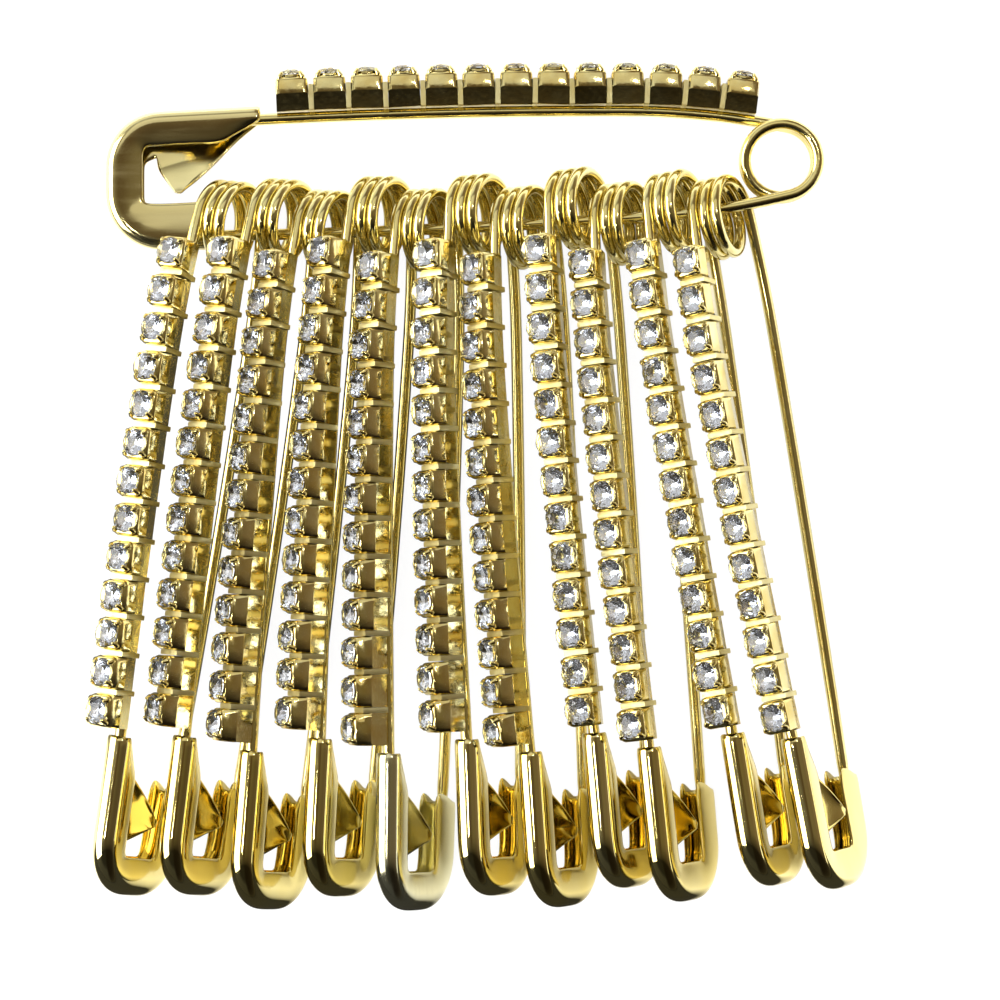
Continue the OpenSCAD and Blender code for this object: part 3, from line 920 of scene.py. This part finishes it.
# place, width and length in millimetres, and watts; each one faces the middle of the bunch
lamps = {
    "leftPanel": ((-450, 0, 235), (620, 350), 3.7),
    "rightPanel": ((470, 40, 60), (420, 60), 0.12),
    "tableLamp": ((0, 0, 800), (1000, 1000), 13),
    "backPanel": ((0, 250, 430), (520, 300), 0.24),
    "sparkLeft": ((-190, -60, 440), (26, 26), 0.1),
    "sparkRight": ((150, 170, 440), (26, 26), 0.1),
}


def greysAlong(tree, distance, stops):
    # a grey that changes along one direction, stops in millimetres
    start, end = stops[0][0], stops[-1][0]
    share = addRange(tree, distance, start * mm, end * mm).outputs["Result"]
    return addRamp(tree, share, [((at - start) / (end - start), (grey,) * 3) for at, grey in stops])


def floorMaterial():
    # the camera sees a white floor, reflections see a grey table that the bunch shades, with painted shade on
    # it in front of and under the bunch
    material = bpy.data.materials.new("floorWhite")
    material.use_nodes = True
    tree = material.node_tree
    nodes, link = tree.nodes, tree.links.new
    paint = nodes["Principled BSDF"]
    paint.inputs["Base Color"].default_value = (*(studio["floorGrey"],) * 3, 1)
    paint.inputs["Roughness"].default_value = studio["floorRoughness"]
    paint.inputs["Emission Color"].default_value = (1, 1, 1, 1)
    paint.inputs["Emission Strength"].default_value = studio["floorGlow"]
    table = nodes.new("ShaderNodeBsdfDiffuse")
    coordinates = nodes.new("ShaderNodeTexCoord")
    across = nodes.new("ShaderNodeSeparateXYZ")
    link(coordinates.outputs["Object"], across.inputs["Vector"])
    # painted shade: the table's dark band in front of the bunch and its darker stretch under it, seen only in
    # reflections
    leftHalf = greysAlong(tree, across.outputs["Y"], studio["tableLeftPaintedShade"])
    rightHalf = greysAlong(tree, across.outputs["Y"], studio["tableRightPaintedShade"])
    side = greysAlong(tree, across.outputs["X"], studio["paintedShadeSplit"])
    link(addMix(tree, side, leftHalf, rightHalf), table.inputs["Color"])
    rays = nodes.new("ShaderNodeLightPath")
    either = nodes.new("ShaderNodeMixShader")
    link(rays.outputs["Is Camera Ray"], either.inputs["Fac"])
    link(table.outputs["BSDF"], either.inputs[1])
    link(paint.outputs["BSDF"], either.inputs[2])
    link(either.outputs["Shader"], nodes["Material Output"].inputs["Surface"])
    return material


def makeSky():
    world = bpy.data.worlds.new("studioWorld")
    bpy.context.scene.world = world
    world.use_nodes = True
    tree = world.node_tree
    nodes, link = tree.nodes, tree.links.new
    direction = nodes.new("ShaderNodeTexCoord")
    split = nodes.new("ShaderNodeSeparateXYZ")
    link(direction.outputs["Generated"], split.inputs["Vector"])
    side = addRange(tree, split.outputs["X"], *studio["skyMiddle"]).outputs["Result"]
    left = addRamp(tree, split.outputs["Z"], studio["skyLeft"])
    right = addRamp(tree, split.outputs["Z"], studio["skyRight"])
    depth = addRange(tree, split.outputs["Y"], -1, 1).outputs["Result"]
    blend = nodes.new("ShaderNodeMix")
    blend.data_type, blend.blend_type = "RGBA", "MULTIPLY"
    blend.inputs["Factor"].default_value = 1
    link(addMix(tree, side, left, right), blend.inputs["A"])
    link(addRamp(tree, depth, studio["skyDepth"]), blend.inputs["B"])
    link(blend.outputs["Result"], nodes["Background"].inputs["Color"])
    nodes["Background"].inputs["Strength"].default_value = 1.0


def addLamp(name, at, size, watts):
    data = bpy.data.lights.new(name, "AREA")
    data.shape = "RECTANGLE"
    data.size, data.size_y = size[0] * mm, size[1] * mm
    data.energy = watts
    obj = bpy.data.objects.new(name, data)
    bpy.context.scene.collection.objects.link(obj)
    obj.location = Vector(at) * mm
    obj.visible_camera = False
    obj.rotation_euler = (-Vector(at) * mm).to_track_quat("-Z", "Y").to_euler()
    return obj


def addCamera():
    data = bpy.data.cameras.new("camera")
    data.lens, data.sensor_width = studio["lens"], studio["sensorWidth"]
    data.clip_start, data.clip_end = studio["seesFrom"], studio["seesTo"]
    obj = bpy.data.objects.new("camera", data)
    bpy.context.scene.collection.objects.link(obj)
    obj.location = Vector(studio["cameraAt"]) * mm
    bpy.context.scene.camera = obj


deselectAll()
bpy.ops.mesh.primitive_plane_add(size=studio["floorSize"] * mm, location=(0, 0, 0))
floor = named("floor")
floor.data.materials.append(floorMaterial())
makeSky()
for name, (at, size, watts) in lamps.items():
    obj = addLamp(name, at, size, watts)
    if name == "tableLamp":      # it lights the table, not the metal
        obj.visible_glossy = obj.visible_transmission = False
addCamera()
print("studio set")
